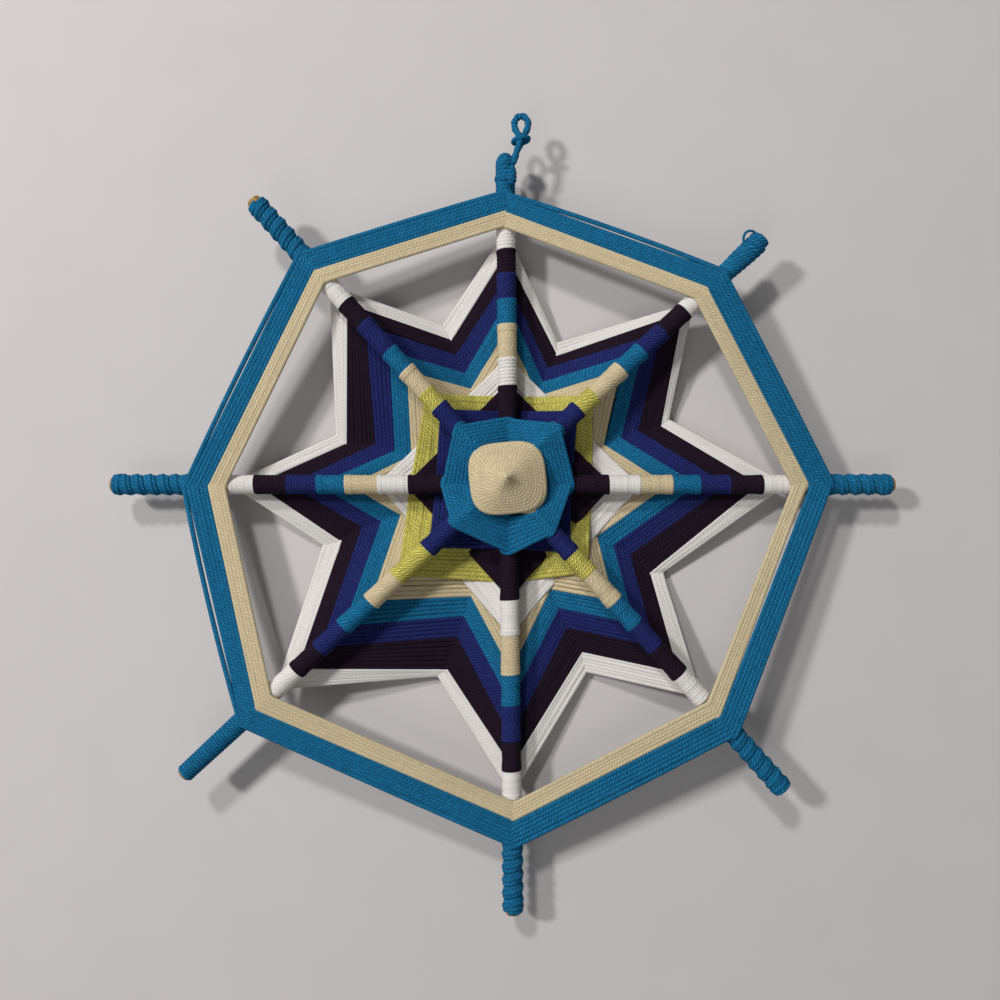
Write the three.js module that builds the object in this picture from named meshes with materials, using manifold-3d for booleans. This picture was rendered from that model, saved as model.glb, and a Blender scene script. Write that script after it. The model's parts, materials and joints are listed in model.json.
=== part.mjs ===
// Ojo de dios: four wooden sticks, crossed in the middle and wound with coloured yarn.
// Millimetres, +Z up. It lies on its back: +X points to its right, +Y to its top, +Z out of its front.
// The upright cross lies behind, the diagonal cross in front, and the sheets of yarn behind both.
import * as THREE from "three";
import { mergeVertices } from "three/addons/utils/BufferGeometryUtils.js";
import Module from "manifold-3d";

const wasm = await Module();
wasm.setup();

// Sticks
const STICK_DIAMETER = 4.8;
const STICK_END_CHAMFER = 0.5;
const STICK_SIDES = 12;

// Clearance between two pieces that touch
const FIT_GAP = 0.3;

// Points closer than this are one point, and bumps lower than this are flat
const SAME_POINT = 1e-4;
const FLAT_ENOUGH = 1e-3;

// Yarn: the sleeve that it makes on an arm, and the flat sheet of strands between two arms
const SLEEVE_THICKNESS = 1.1;
const SLEEVE_SIDES = 8;
const SLEEVE_SWELL = 0.3;
const SHOULDER = 0.6;
const SHEET_THICKNESS = 0.55;
const FOOT_WIDTH = 1.1;
const FOOT_TAPER = 0.6;

// Eye: a cone of rounded square turns over a core of first turns
const EYE_HALF_WIDTH = 12.2;
const EYE_HEIGHT = 9;
const EYE_SHIFT = { x: -0.5, y: 2.2 };
const EYE_START = 1.5;
const EYE_TURNS = 6;
const EYE_SQUARENESS = 4;
const EYE_TWIST = 3;
const EYE_YARN_WIDTH = 1.5;
const EYE_YARN_THICKNESS = 1.2;
const CORE_INSET = 2.2;
const CORE_DROP = 2.4;

// Octagon round the eye, and where it ends on the arms of each cross
const OCTAGON_TURNS = 4;
const OCTAGON_MARGIN = 0.7;
const OCTAGON_REACH = { plus: 22.3, diagonal: 27.5 };

// Widths of the bands along an arm, from the eye outwards
const DARK_BLUE_SQUARE_WIDTH = 8.5;
const DARK_PURPLE_SQUARE_WIDTH = 11.5;
const WHITE_SQUARE_WIDTH = 10.4;
const BEIGE_STAR_WIDTH = 11.1;
const TURQUOISE_STAR_WIDTH = 9.5;
const DARK_BLUE_STAR_WIDTH = 10.2;
const DARK_PURPLE_STAR_WIDTH = 11;

// A star's sheets pass behind the two arms between, at these shares of those arms' own radius: behind the
// next arm for the sheet that leaves an arm, and behind the arm before for the sheet that comes to it
const STAR_WAIST = {
  right: { leaving: 0.556, coming: 0.614 },
  upper_right: { leaving: 0.513, coming: 0.552 },
  top: { leaving: 0.571, coming: 0.44 },
  upper_left: { leaving: 0.604, coming: 0.56 },
  left: { leaving: 0.491, coming: 0.472 },
  lower_left: { leaving: 0.599, coming: 0.617 },
  bottom: { leaving: 0.596, coming: 0.492 },
  lower_right: { leaving: 0.486, coming: 0.534 },
};
const EVEN_WAIST = 0.55;

// Share of a sheet's first and last leg in which it comes down from its arm to its own level
const SQUARE_RAMP = 0.15;
const STAR_RAMP = { plus: 0.25, diagonal: 0.3 };

// Share of a leg by which a sheet laps past the middle of its arm, into the next sheet
const SHEET_LAP = 0.006;

// Octagonal edge, wound over the fronts of the arms
const EDGE_BEIGE_WIDTH = 5.2;
const EDGE_BEIGE_TURNS = 2;
const EDGE_TURQUOISE_WIDTH = 8.7;
const EDGE_TURQUOISE_TURNS = 4;
const EDGE_YARN_THICKNESS = 1.1;

// Wraps on the stick ends
const TIP_PITCH = 3.8;
const TIP_YARN_THICKNESS = 1.2;

// Least gap between two turns of one winding, and how finely a turn is drawn
const TURN_GAP = 0.5;
const EYE_STEPS = 16;
const EDGE_STEPS = 16;
const CURL_STEPS = 8;
const LOOP_SIDES = 6;
const CURL_SIDES = 5;
const KNOT_SIDES = 8;
const RING_SIDES = 16;

// Hanger: a tie round the top stick with its knot, a stem that swings at the tie, an end knot and a loop
const TIE_FROM_EDGE = 4.5;
const TIE_WIDTH = 1.6;
const TIE_THICKNESS = 1.2;
const KNOT_RADIUS = 1.7;
const KNOT_LENGTH = 6.4;
const KNOT_TURN = 60;
const CORD_DIAMETER = 1.9;
const CORD_SIDES = 8;
const BUMP_RADIUS = 1.45;
const BUMP_SPACING = 2.3;
// Points from the swing's pivot, along X, Y and Z
const STEM_ROUTE = [
  [0, 0, 0],
  [0.55, 2.1, 0.1],
  [1.15, 4.2, -0.1],
  [1.85, 6.4, -0.7],
];
const END_KNOT_AT = [2.4, 8.3, -1.2];
const LOOP_ROUTE = [
  [1.25, 10.2, -1.6],
  [0.15, 12.2, -2.1],
  [0.2, 14.6, -2.6],
  [1.5, 16.3, -2.9],
  [3.3, 16.4, -2.9],
  [4.75, 14.8, -2.6],
  [4.85, 12.4, -2.1],
  [3.55, 10.2, -1.6],
];

// On each arm: how far the hand stretched the ends of the octagon, the two squares and the four inner stars
const STRETCH = {
  right: [1, 1, 1, 1, 1, 1, 1],
  upper_right: [0.95, 0.945, 0.925, 0.97, 0.97, 0.967, 0.957],
  top: [1, 0.985, 0.97, 0.98, 0.966, 0.948, 0.925],
  upper_left: [0.945, 0.965, 0.94, 0.925, 0.922, 0.963, 0.945],
  left: [1, 1, 1, 1, 1, 1, 1],
  lower_left: [0.825, 0.965, 1.095, 1.092, 1.125, 1.117, 1.095],
  bottom: [1.03, 1.155, 1.15, 1.162, 1.155, 1.155, 1.125],
  lower_right: [0.78, 0.865, 0.91, 0.953, 0.974, 0.977, 0.99],
};

// On each arm: the white neck from the stars to the edge, the tip outside the edge, and its bare wood
const NECK_LENGTH = {
  right: 9.4,
  upper_right: 3.2,
  top: 5.7,
  upper_left: 8,
  left: 9.4,
  lower_left: 10.5,
  bottom: 9.9,
  lower_right: 14.4,
};
const TIP_LENGTH = {
  right: 21.4,
  upper_right: 18.4,
  top: 12.9,
  upper_left: 24.8,
  left: 25.5,
  lower_left: 27.5,
  bottom: 25.3,
  lower_right: 23.7,
};

const BARE_END = {
  right: 1.3,
  upper_right: 0.6,
  top: 0.6,
  upper_left: 1.7,
  left: 1.1,
  lower_left: 0.7,
  bottom: 1,
  lower_right: 0.6,
};

// Each stick: its turn from +X, how far it passes to the left of the crossing, its cross and its two arms
const RISING_OFFSET = 2.6;
const STICKS = [
  { name: "stick_horizontal", turn: 0, offset: 0, cross: "plus", ends: ["right", "left"] },
  {
    name: "stick_rising",
    turn: 42.8,
    offset: RISING_OFFSET,
    cross: "diagonal",
    ends: ["upper_right", "lower_left"],
  },
  { name: "stick_vertical", turn: 90.6, offset: 0, cross: "plus", ends: ["top", "bottom"] },
  { name: "stick_falling", turn: 132, offset: 0, cross: "diagonal", ends: ["upper_left", "lower_right"] },
];

// Colours of the yarns and the wood
const FINISHES = {
  wood: { color: 0xc9ab7e, roughness: 0.65 },
  beige: { color: 0xc9b48c, roughness: 0.85 },
  turquoise: { color: 0x10709c, roughness: 0.85 },
  darkBlue: { color: 0x22226e, roughness: 0.85 },
  darkPurple: { color: 0x1c0f1e, roughness: 0.85 },
  lime: { color: 0x9c9c32, roughness: 0.85 },
  white: { color: 0xe2ddd8, roughness: 0.85 },
};

// Sizes that follow from the ones above
const stickRadius = STICK_DIAMETER / 2;
const sleeveRadius = stickRadius + FIT_GAP + SLEEVE_THICKNESS;
const tipRadius = stickRadius + FIT_GAP + TIP_YARN_THICKNESS;
const edgeWidth = EDGE_BEIGE_WIDTH + EDGE_TURQUOISE_WIDTH;
const edgeRoom = (sleeveRadius * Math.tan(Math.PI / 8)) / 2;
const blueStart = OCTAGON_REACH.diagonal;
const limeStart = blueStart + DARK_BLUE_SQUARE_WIDTH;
const purpleStart = OCTAGON_REACH.plus;
const purpleEnd = purpleStart + DARK_PURPLE_SQUARE_WIDTH;
const starStart = purpleEnd + WHITE_SQUARE_WIDTH;
const starEnds = [
  BEIGE_STAR_WIDTH,
  TURQUOISE_STAR_WIDTH,
  DARK_BLUE_STAR_WIDTH,
  DARK_PURPLE_STAR_WIDTH,
].map((width, i, widths) => starStart + widths.slice(0, i + 1).reduce((sum, w) => sum + w));
const neckStart = starEnds.at(-1);

// Bands in the order of winding. Each later one lies behind the ones before it. The step tells which of an
// arm's stretches applies where the band starts, and the next one applies where it ends.
const BANDS = [
  { name: "square_dark_blue", yarn: "darkBlue", cross: "diagonal", step: 0, from: blueStart, to: limeStart },
  { name: "square_dark_purple", yarn: "darkPurple", cross: "plus", step: 0, from: purpleStart, to: purpleEnd },
  { name: "square_lime", yarn: "lime", cross: "diagonal", step: 1, from: limeStart, to: starStart },
  { name: "square_white", yarn: "white", cross: "plus", step: 1, from: purpleEnd, to: starStart },
  { name: "star_beige", yarn: "beige", step: 2, from: starStart, to: starEnds[0] },
  { name: "star_turquoise", yarn: "turquoise", step: 3, from: starEnds[0], to: starEnds[1] },
  { name: "star_dark_blue", yarn: "darkBlue", step: 4, from: starEnds[1], to: starEnds[2] },
  { name: "star_dark_purple", yarn: "darkPurple", step: 5, from: starEnds[2], to: neckStart },
  { name: "star_white", yarn: "white", step: 6, from: neckStart },
];

// Levels: the last sheet lies on the table, the others a gap above each other, then the two crosses
const sheetPitch = SHEET_THICKNESS + FIT_GAP;
const plusAxis = BANDS.length * sheetPitch + sleeveRadius;
const axisHeight = { plus: plusAxis, diagonal: plusAxis + STICK_DIAMETER + FIT_GAP };
const underSleeve = (cross) => axisHeight[cross] - sleeveRadius - FIT_GAP;
const sheetTop = (layer) => (BANDS.length - layer) * sheetPitch - FIT_GAP;

// Arms in the order of their angles: the heads of the four sticks, then their tails
const UP = new THREE.Vector3(0, 0, 1);
for (const stick of STICKS) {
  const turn = THREE.MathUtils.degToRad(stick.turn);
  stick.along = new THREE.Vector3(Math.cos(turn), Math.sin(turn), 0);
  stick.centre = UP.clone().cross(stick.along).multiplyScalar(stick.offset);
  stick.centre.z = axisHeight[stick.cross];
  stick.arms = stick.ends.map((name, end) => {
    const edgeInner = neckStart * STRETCH[name].at(-1) + NECK_LENGTH[name];
    return {
      name,
      cross: stick.cross,
      along: stick.along.clone().multiplyScalar(end === 0 ? 1 : -1),
      centre: stick.centre,
      stretch: STRETCH[name],
      edgeInner,
      edgeOuter: edgeInner + edgeWidth,
      reach: edgeInner + edgeWidth + TIP_LENGTH[name],
    };
  });
}
const ARMS = [...STICKS.map((stick) => stick.arms[0]), ...STICKS.map((stick) => stick.arms[1])];

const pointOn = (arm, radius, lift = 0) =>
  arm.centre.clone().addScaledVector(arm.along, radius).addScaledVector(UP, lift);
const bandStart = (band, arm) => band.from * arm.stretch[band.step];
const bandEnd = (band, arm) =>
  band.to === undefined ? arm.edgeInner - edgeRoom : band.to * arm.stretch[band.step + 1];

// Places a geometry that was drawn along +Y on an arm: X turns to the arm's right, Y along it.
function alongArm(geometry, arm, radius = 0) {
  const right = arm.along.clone().cross(UP);
  const place = new THREE.Matrix4().makeBasis(right, arm.along, UP);
  return geometry.applyMatrix4(place.setPosition(pointOn(arm, radius)));
}

// A closed geometry as a solid that can be joined and cut
function solidOf(geometry) {
  const bare = geometry.clone();
  bare.deleteAttribute("normal");
  bare.deleteAttribute("uv");
  const merged = mergeVertices(bare, SAME_POINT);
  const triVerts = Uint32Array.from(merged.index.array);
  const vertProperties = merged.attributes.position.array;
  const solid = new wasm.Manifold(new wasm.Mesh({ numProp: 3, vertProperties, triVerts }));
  if (solid.volume() > 0) return solid;
  triVerts.reverse();
  return new wasm.Manifold(new wasm.Mesh({ numProp: 3, vertProperties, triVerts }));
}

function geometryOf(solid) {
  const mesh = solid.asOriginal().simplify(FLAT_ENOUGH).getMesh();
  const geometry = new THREE.BufferGeometry();
  geometry.setAttribute("position", new THREE.BufferAttribute(mesh.vertProperties, 3));
  geometry.setIndex(new THREE.BufferAttribute(mesh.triVerts, 1));
  geometry.computeVertexNormals();
  return geometry;
}

const joined = (geometries) => geometries.map(solidOf).reduce((sum, solid) => sum.add(solid));

// A skin over rings of equally many points, closed at both ends. Each ring turns left about its path.
function skinOver(rings) {
  const sides = rings[0].length;
  const last = (rings.length - 1) * sides;
  const index = [];
  for (let i = 0; i < rings.length - 1; i++) {
    for (let j = 0; j < sides; j++) {
      const a = i * sides + j;
      const b = i * sides + ((j + 1) % sides);
      index.push(a, b, b + sides, a, b + sides, a + sides);
    }
  }
  for (let j = 1; j < sides - 1; j++) {
    index.push(0, j + 1, j);
    index.push(last, last + j, last + j + 1);
  }
  const geometry = new THREE.BufferGeometry().setFromPoints(rings.flat());
  geometry.setIndex(index);
  geometry.computeVertexNormals();
  return geometry;
}

// An oval yarn carried along a path. Each place has its point, the way its flat side faces, and its width.
function yarnRings(path, thickness, sides) {
  return path.map(({ point, face, width }, i) => {
    const behind = path[Math.max(i - 1, 0)].point;
    const ahead = path[Math.min(i + 1, path.length - 1)].point;
    const along = ahead.clone().sub(behind).normalize();
    const across = along.clone().cross(face).normalize();
    const out = across.clone().cross(along);
    return Array.from({ length: sides }, (_, j) => {
      const angle = (2 * Math.PI * j) / sides;
      return point
        .clone()
        .addScaledVector(out, (Math.cos(angle) * thickness) / 2)
        .addScaledVector(across, (Math.sin(angle) * width) / 2);
    });
  });
}

// The least distance between points of a winding that lie half a turn or more apart
function leastGap(rings, stepsPerTurn) {
  let least = Infinity;
  rings.forEach((ring, i) => {
    for (const other of rings.slice(i + stepsPerTurn / 2).flat()) {
      for (const point of ring) least = Math.min(least, point.distanceTo(other));
    }
  });
  return least;
}

const body = new THREE.Group();
const hanger = new THREE.Group();

function addPiece(group, name, geometry, finish) {
  const material = new THREE.MeshStandardMaterial({ ...FINISHES[finish], metalness: 0 });
  const mesh = new THREE.Mesh(geometry, material);
  mesh.name = name;
  group.add(mesh);
}

function addWinding(name, path, thickness, sides, stepsPerTurn, finish) {
  const rings = yarnRings(path, thickness, sides);
  console.log(`${name}: least gap between its turns ${leastGap(rings, stepsPerTurn).toFixed(2)} mm`);
  addPiece(body, name, skinOver(rings), finish);
}

// Sticks: dowels with broken edges. Of each cross one is notched from the front and one from the back.
function dowel(stick) {
  const [head, tail] = stick.arms.map((arm) => arm.reach);
  const outline = [
    [0, -tail],
    [stickRadius - STICK_END_CHAMFER, -tail],
    [stickRadius, STICK_END_CHAMFER - tail],
    [stickRadius, head - STICK_END_CHAMFER],
    [stickRadius - STICK_END_CHAMFER, head],
    [0, head],
  ].map(([x, y]) => new THREE.Vector2(x, y));
  return alongArm(new THREE.LatheGeometry(outline, STICK_SIDES), stick.arms[0]);
}

// Where the axes of two sticks of one cross meet
function crossingOf(a, b) {
  const apart = b.centre.clone().sub(a.centre);
  const reach = apart.cross(b.along).z / a.along.clone().cross(b.along).z;
  return a.centre.clone().addScaledVector(a.along, reach);
}

// The half of the crossing that a stick gives up to its partner: the front half for side 1, the back for -1
function lapNotch(partner, crossing, side) {
  const width = STICK_DIAMETER + FIT_GAP;
  const notch = new THREE.BoxGeometry(2 * width, width, STICK_DIAMETER);
  notch.rotateZ(THREE.MathUtils.degToRad(partner.turn));
  notch.translate(crossing.x, crossing.y, crossing.z + (side * (STICK_DIAMETER - FIT_GAP)) / 2);
  return solidOf(notch);
}

for (const cross of ["plus", "diagonal"]) {
  const [lower, upper] = STICKS.filter((stick) => stick.cross === cross);
  const crossing = crossingOf(lower, upper);
  const lowerSolid = solidOf(dowel(lower)).subtract(lapNotch(upper, crossing, 1));
  const upperSolid = solidOf(dowel(upper)).subtract(lapNotch(lower, crossing, -1));
  addPiece(body, lower.name, geometryOf(lowerSolid), "wood");
  addPiece(body, upper.name, geometryOf(upperSolid), "wood");
}

// Room round all the sticks, which every band leaves free
const boreRadius = (stickRadius + FIT_GAP) / Math.cos(Math.PI / SLEEVE_SIDES);
const stickRoom = joined(
  STICKS.map((stick) => {
    const longest = Math.max(...stick.arms.map((arm) => arm.reach));
    const bore = new THREE.CylinderGeometry(boreRadius, boreRadius, 2 * longest, SLEEVE_SIDES);
    return alongArm(bore, stick.arms[0]);
  }),
);

// A sleeve of yarn on an arm: it swells outwards and ends in a round shoulder.
function sleeve(arm, start, end) {
  const first = start + FIT_GAP / 2;
  const last = end - FIT_GAP / 2;
  const shoulder = Math.min(SHOULDER, (last - first) / 2);
  const outline = [
    [0, first],
    [sleeveRadius - SLEEVE_SWELL, first],
    [sleeveRadius, last - shoulder],
    [sleeveRadius - SLEEVE_SWELL, last],
    [0, last],
  ].map(([x, y]) => new THREE.Vector2(x, y));
  return alongArm(new THREE.LatheGeometry(outline, SLEEVE_SIDES), arm);
}

// The strands that leave a sleeve backwards, down to their sheets: an arrowhead in plan, between their edges
function foot({ arm, from, to, top }, spread) {
  const tip = to - FIT_GAP;
  const taper = Math.tan(FOOT_TAPER * spread);
  const half = Math.min(FOOT_WIDTH / 2, ((tip - from) * taper) / 2);
  const neck = tip - half / taper;
  const tail = (from + neck) / 2;
  const plan = [
    [0, tip],
    [-half, neck],
    [-half, tail],
    [half, tail],
    [half, neck],
  ].map(([x, y]) => new THREE.Vector2(x, y));
  const depth = axisHeight[arm.cross] - top + SHEET_THICKNESS;
  const geometry = new THREE.ExtrudeGeometry(new THREE.Shape(plan), { depth, bevelEnabled: false });
  return alongArm(geometry.translate(0, 0, -depth), arm);
}

// A sheet of strands that runs from its first place to its last. A place is an arm with the radii of the
// sheet's two edges on it. The sheet leaves both ends at their own heights and lies level between.
function sheet(places, level) {
  const edgesAt = ({ arm, from, to }) => [pointOn(arm, from), pointOn(arm, to)];
  const edgesBetween = (a, b, share) => edgesAt(a).map((edge, i) => edge.lerp(edgesAt(b)[i], share));
  const [first, second] = places;
  const [beforeLast, last] = places.slice(-2);
  const stations = [
    { edges: edgesBetween(first, second, -SHEET_LAP), top: first.top },
    { edges: edgesBetween(first, second, first.ramp), top: level },
    ...places.slice(1, -1).map((place) => ({ edges: edgesAt(place), top: level })),
    { edges: edgesBetween(last, beforeLast, last.ramp), top: level },
    { edges: edgesBetween(last, beforeLast, -SHEET_LAP), top: last.top },
  ];
  const rings = stations.map(({ edges: [inner, outer], top }) => {
    const bottom = top - SHEET_THICKNESS;
    return [
      [inner, top],
      [outer, top],
      [outer, bottom],
      [inner, bottom],
    ].map(([corner, height]) => corner.clone().setZ(height));
  });
  return skinOver(rings);
}

// Where a band's sheet leaves an arm: it passes under the sleeves there and under every earlier sheet.
function sheetStart(band, layer, cross) {
  const isStar = band.cross === undefined;
  if (cross === "diagonal") {
    return isStar
      ? { top: underSleeve(cross) - sheetPitch, ramp: STAR_RAMP.diagonal }
      : { top: underSleeve(cross), ramp: SQUARE_RAMP };
  }
  const liesFlat = !isStar || band.from === starStart;
  return { top: liesFlat ? sheetTop(layer) : underSleeve(cross), ramp: STAR_RAMP.plus };
}

// The angle at which a star's sheets leave an arm, on evenly spread arms of one length
const armStep = (2 * Math.PI) / ARMS.length;
const starSpread = Math.atan2(EVEN_WAIST * Math.sin(armStep), 1 - EVEN_WAIST * Math.cos(armStep));

// A band: its sleeves and feet on the arms, and its sheets. A square's sheet runs to the next arm of its
// cross, a star's sheet behind two arms to the third.
function bandSolid(band, layer) {
  const isStar = band.cross === undefined;
  const arms = ARMS.filter((arm) => isStar || arm.cross === band.cross);
  const spread = isStar ? starSpread : armStep;
  const inset = FIT_GAP / 2 / Math.sin(spread);
  const ends = arms.map((arm) => ({
    arm,
    from: bandStart(band, arm) + inset,
    to: bandEnd(band, arm) - inset,
    ...sheetStart(band, layer, arm.cross),
  }));
  const waist = ({ arm, from, to }, share) => ({ arm, from: share * from, to: share * to });
  const pieces = ends.flatMap((end, i) => {
    const after = (steps) => (i + steps) % ends.length;
    const last = ends[after(isStar ? 3 : 1)];
    const behind = isStar
      ? [
          waist(ends[after(1)], STAR_WAIST[end.arm.name].leaving),
          waist(ends[after(2)], STAR_WAIST[last.arm.name].coming),
        ]
      : [];
    const route = [end, ...behind, last];
    return [
      sleeve(end.arm, bandStart(band, end.arm), bandEnd(band, end.arm)),
      foot(end, spread),
      sheet(route, sheetTop(layer)),
    ];
  });
  return joined(pieces).subtract(stickRoom);
}

BANDS.forEach((band, layer) => {
  addPiece(body, band.name, geometryOf(bandSolid(band, layer)), band.yarn);
});

// Eye: a spiral of rounded squares, x^n + y^n = a^n, that widens as it comes down the cone
const eyeCorner = EYE_HALF_WIDTH * Math.SQRT2 * 2 ** (-1 / EYE_SQUARENESS);
const eyeRim = axisHeight.diagonal + stickRadius + 2 * FIT_GAP + EYE_YARN_THICKNESS / 2;
const eyeWidest = EYE_HALF_WIDTH - EYE_YARN_WIDTH / 2;
const eyeTurn = THREE.MathUtils.degToRad(EYE_TWIST);
const eyeMiddle = new THREE.Vector3(EYE_SHIFT.x, EYE_SHIFT.y, 0);

function eyePath() {
  const steps = EYE_TURNS * EYE_STEPS;
  return Array.from({ length: steps + 1 }, (_, k) => {
    const share = k / steps;
    const angle = (2 * Math.PI * k) / EYE_STEPS;
    const lengths = [Math.cos(angle), Math.sin(angle)].map((x) => Math.abs(x) ** EYE_SQUARENESS);
    const half = EYE_START + (eyeWidest - EYE_START) * share;
    const radius = half / (lengths[0] + lengths[1]) ** (1 / EYE_SQUARENESS);
    const out = new THREE.Vector3(Math.cos(angle + eyeTurn), Math.sin(angle + eyeTurn), 0);
    const height = eyeRim + EYE_HEIGHT * (1 - share);
    const point = eyeMiddle.clone().addScaledVector(out, radius).setZ(height);
    const face = out.clone().multiplyScalar(EYE_HEIGHT).addScaledVector(UP, EYE_HALF_WIDTH);
    return { point, face, width: EYE_YARN_WIDTH };
  });
}

addWinding("eye_cone_beige", eyePath(), EYE_YARN_THICKNESS, LOOP_SIDES, EYE_STEPS, "beige");

// Core under the eye: a square pyramid on the diagonal cross, a little inside the cone
function eyeCore() {
  const slope = eyeCorner / EYE_HEIGHT;
  const bottom = axisHeight.diagonal + stickRadius + FIT_GAP;
  const top = eyeRim + EYE_HEIGHT - CORE_DROP;
  const outline = [
    [0, bottom],
    [eyeCorner - CORE_INSET, bottom],
    [Math.max(FIT_GAP, eyeCorner - CORE_INSET - slope * (top - bottom)), top],
    [0, top],
  ].map(([x, y]) => new THREE.Vector2(x, y));
  const pyramid = new THREE.LatheGeometry(outline, 4, Math.PI / 4);
  return pyramid.rotateX(Math.PI / 2).rotateZ(eyeTurn).translate(eyeMiddle.x, eyeMiddle.y, 0);
}

addPiece(body, "eye_core", geometryOf(solidOf(eyeCore())), "beige");

// Windings over the fronts of the arms: a spiral from the inner to the outer edge of its band on every arm
function roundPath(turns, inner, outer, lift) {
  const steps = turns * EDGE_STEPS;
  const place = (arm, share) => {
    const pitch = (outer(arm) - inner(arm)) / (turns + 1);
    const radius = inner(arm) + pitch * (0.5 + turns * share);
    const width = pitch * Math.cos(Math.PI / ARMS.length) - TURN_GAP;
    return { point: pointOn(arm, radius, lift), width };
  };
  return Array.from({ length: steps + 1 }, (_, k) => {
    const passed = (k * ARMS.length) / EDGE_STEPS;
    const i = Math.floor(passed);
    const here = place(ARMS[i % ARMS.length], k / steps);
    const next = place(ARMS[(i + 1) % ARMS.length], k / steps);
    const point = here.point.lerp(next.point, passed - i);
    const width = THREE.MathUtils.lerp(here.width, next.width, passed - i);
    return { point, face: UP, width };
  });
}

const eyeReach = { plus: EYE_HALF_WIDTH, diagonal: eyeCorner };
const octagonPath = roundPath(
  OCTAGON_TURNS,
  (arm) => eyeReach[arm.cross] + eyeMiddle.dot(arm.along) + OCTAGON_MARGIN,
  (arm) => OCTAGON_REACH[arm.cross] * arm.stretch[0] - FIT_GAP,
  stickRadius + 2 * FIT_GAP + EDGE_YARN_THICKNESS / 2,
);
addWinding("eye_octagon_turquoise", octagonPath, EDGE_YARN_THICKNESS, LOOP_SIDES, EDGE_STEPS, "turquoise");

const edgeLift = stickRadius + FIT_GAP + EDGE_YARN_THICKNESS / 2;
const edgeBeigePath = roundPath(
  EDGE_BEIGE_TURNS,
  (arm) => arm.edgeInner,
  (arm) => arm.edgeInner + EDGE_BEIGE_WIDTH,
  edgeLift,
);
addWinding("edge_beige", edgeBeigePath, EDGE_YARN_THICKNESS, LOOP_SIDES, EDGE_STEPS, "beige");

const edgeTurquoisePath = roundPath(
  EDGE_TURQUOISE_TURNS,
  (arm) => arm.edgeInner + EDGE_BEIGE_WIDTH,
  (arm) => arm.edgeOuter,
  edgeLift,
);
addWinding("edge_turquoise", edgeTurquoisePath, EDGE_YARN_THICKNESS, LOOP_SIDES, EDGE_STEPS, "turquoise");

// Tip wraps: coarse curls of yarn round each stick end, up to its bare wood
function tipPath(arm) {
  const start = arm.edgeOuter + FIT_GAP;
  const length = arm.reach - BARE_END[arm.name] - start;
  const turns = Math.max(1, Math.round(length / TIP_PITCH) - 1);
  const pitch = (length + TURN_GAP) / (turns + 1);
  const width = pitch - TURN_GAP;
  const right = arm.along.clone().cross(UP);
  const radius = tipRadius - TIP_YARN_THICKNESS / 2;
  return Array.from({ length: turns * CURL_STEPS + 1 }, (_, k) => {
    const angle = (2 * Math.PI * k) / CURL_STEPS;
    const face = right.clone().multiplyScalar(Math.cos(angle)).addScaledVector(UP, Math.sin(angle));
    const onAxis = pointOn(arm, start + width / 2 + (pitch * k) / CURL_STEPS);
    return { point: onAxis.addScaledVector(face, radius), face, width };
  });
}

for (const arm of ARMS) {
  addWinding(`tip_wrap_${arm.name}`, tipPath(arm), TIP_YARN_THICKNESS, CURL_SIDES, CURL_STEPS, "turquoise");
}

// Hanger tie: a strand round the wrapped top stick, with its knot at the front on the right
const top = ARMS.find((arm) => arm.name === "top");
const tieAt = top.edgeOuter + TIE_FROM_EDGE;
const tieInner = tipRadius + FIT_GAP;
const knotReach = tieInner + KNOT_RADIUS;
const knotTurn = THREE.MathUtils.degToRad(KNOT_TURN);
const knotSide = knotReach * Math.cos(knotTurn);
const knotLift = knotReach * Math.sin(knotTurn);

function tieRing() {
  const outline = [
    [tieInner, -TIE_WIDTH / 2],
    [tieInner + TIE_THICKNESS, -TIE_WIDTH / 2],
    [tieInner + TIE_THICKNESS, TIE_WIDTH / 2],
    [tieInner, TIE_WIDTH / 2],
    [tieInner, -TIE_WIDTH / 2],
  ].map(([x, y]) => new THREE.Vector2(x, y));
  return alongArm(new THREE.LatheGeometry(outline, RING_SIDES), top, tieAt);
}

function tieKnot() {
  const knot = new THREE.SphereGeometry(1, KNOT_SIDES, KNOT_SIDES);
  knot.scale(KNOT_RADIUS, KNOT_LENGTH / 2, KNOT_RADIUS);
  return alongArm(knot.translate(knotSide, 0, knotLift), top, tieAt);
}

addPiece(body, "hanger_tie", geometryOf(joined([tieRing(), tieKnot()])), "turquoise");

// Hanger cord: it swings about a ball that sits just past the knot.
const pivotReach = tieAt + KNOT_LENGTH / 2 + FIT_GAP + CORD_DIAMETER / 2;
const pivot = pointOn(top, pivotReach, knotLift).addScaledVector(top.along.clone().cross(UP), knotSide);
const fromPivot = (place) => new THREE.Vector3(...place).add(pivot);

function cordAlong(route, steps) {
  const section = new THREE.Shape().absarc(0, 0, CORD_DIAMETER / 2, 0, 2 * Math.PI);
  const extrudePath = new THREE.CatmullRomCurve3(route.map(fromPivot));
  return new THREE.ExtrudeGeometry(section, { steps, extrudePath, curveSegments: CORD_SIDES / 2 });
}

function stemSolid() {
  const ball = new THREE.SphereGeometry(CORD_DIAMETER / 2, CORD_SIDES, CORD_SIDES);
  return joined([cordAlong(STEM_ROUTE, STEM_ROUTE.length), ball.translate(pivot.x, pivot.y, pivot.z)]);
}

function endKnotSolid() {
  const bumps = [-1, 1].map((side) => {
    const bump = new THREE.SphereGeometry(BUMP_RADIUS, KNOT_SIDES, KNOT_SIDES);
    const at = fromPivot(END_KNOT_AT);
    return bump.translate(at.x + (side * BUMP_SPACING) / 2, at.y, at.z);
  });
  return joined(bumps);
}

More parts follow.
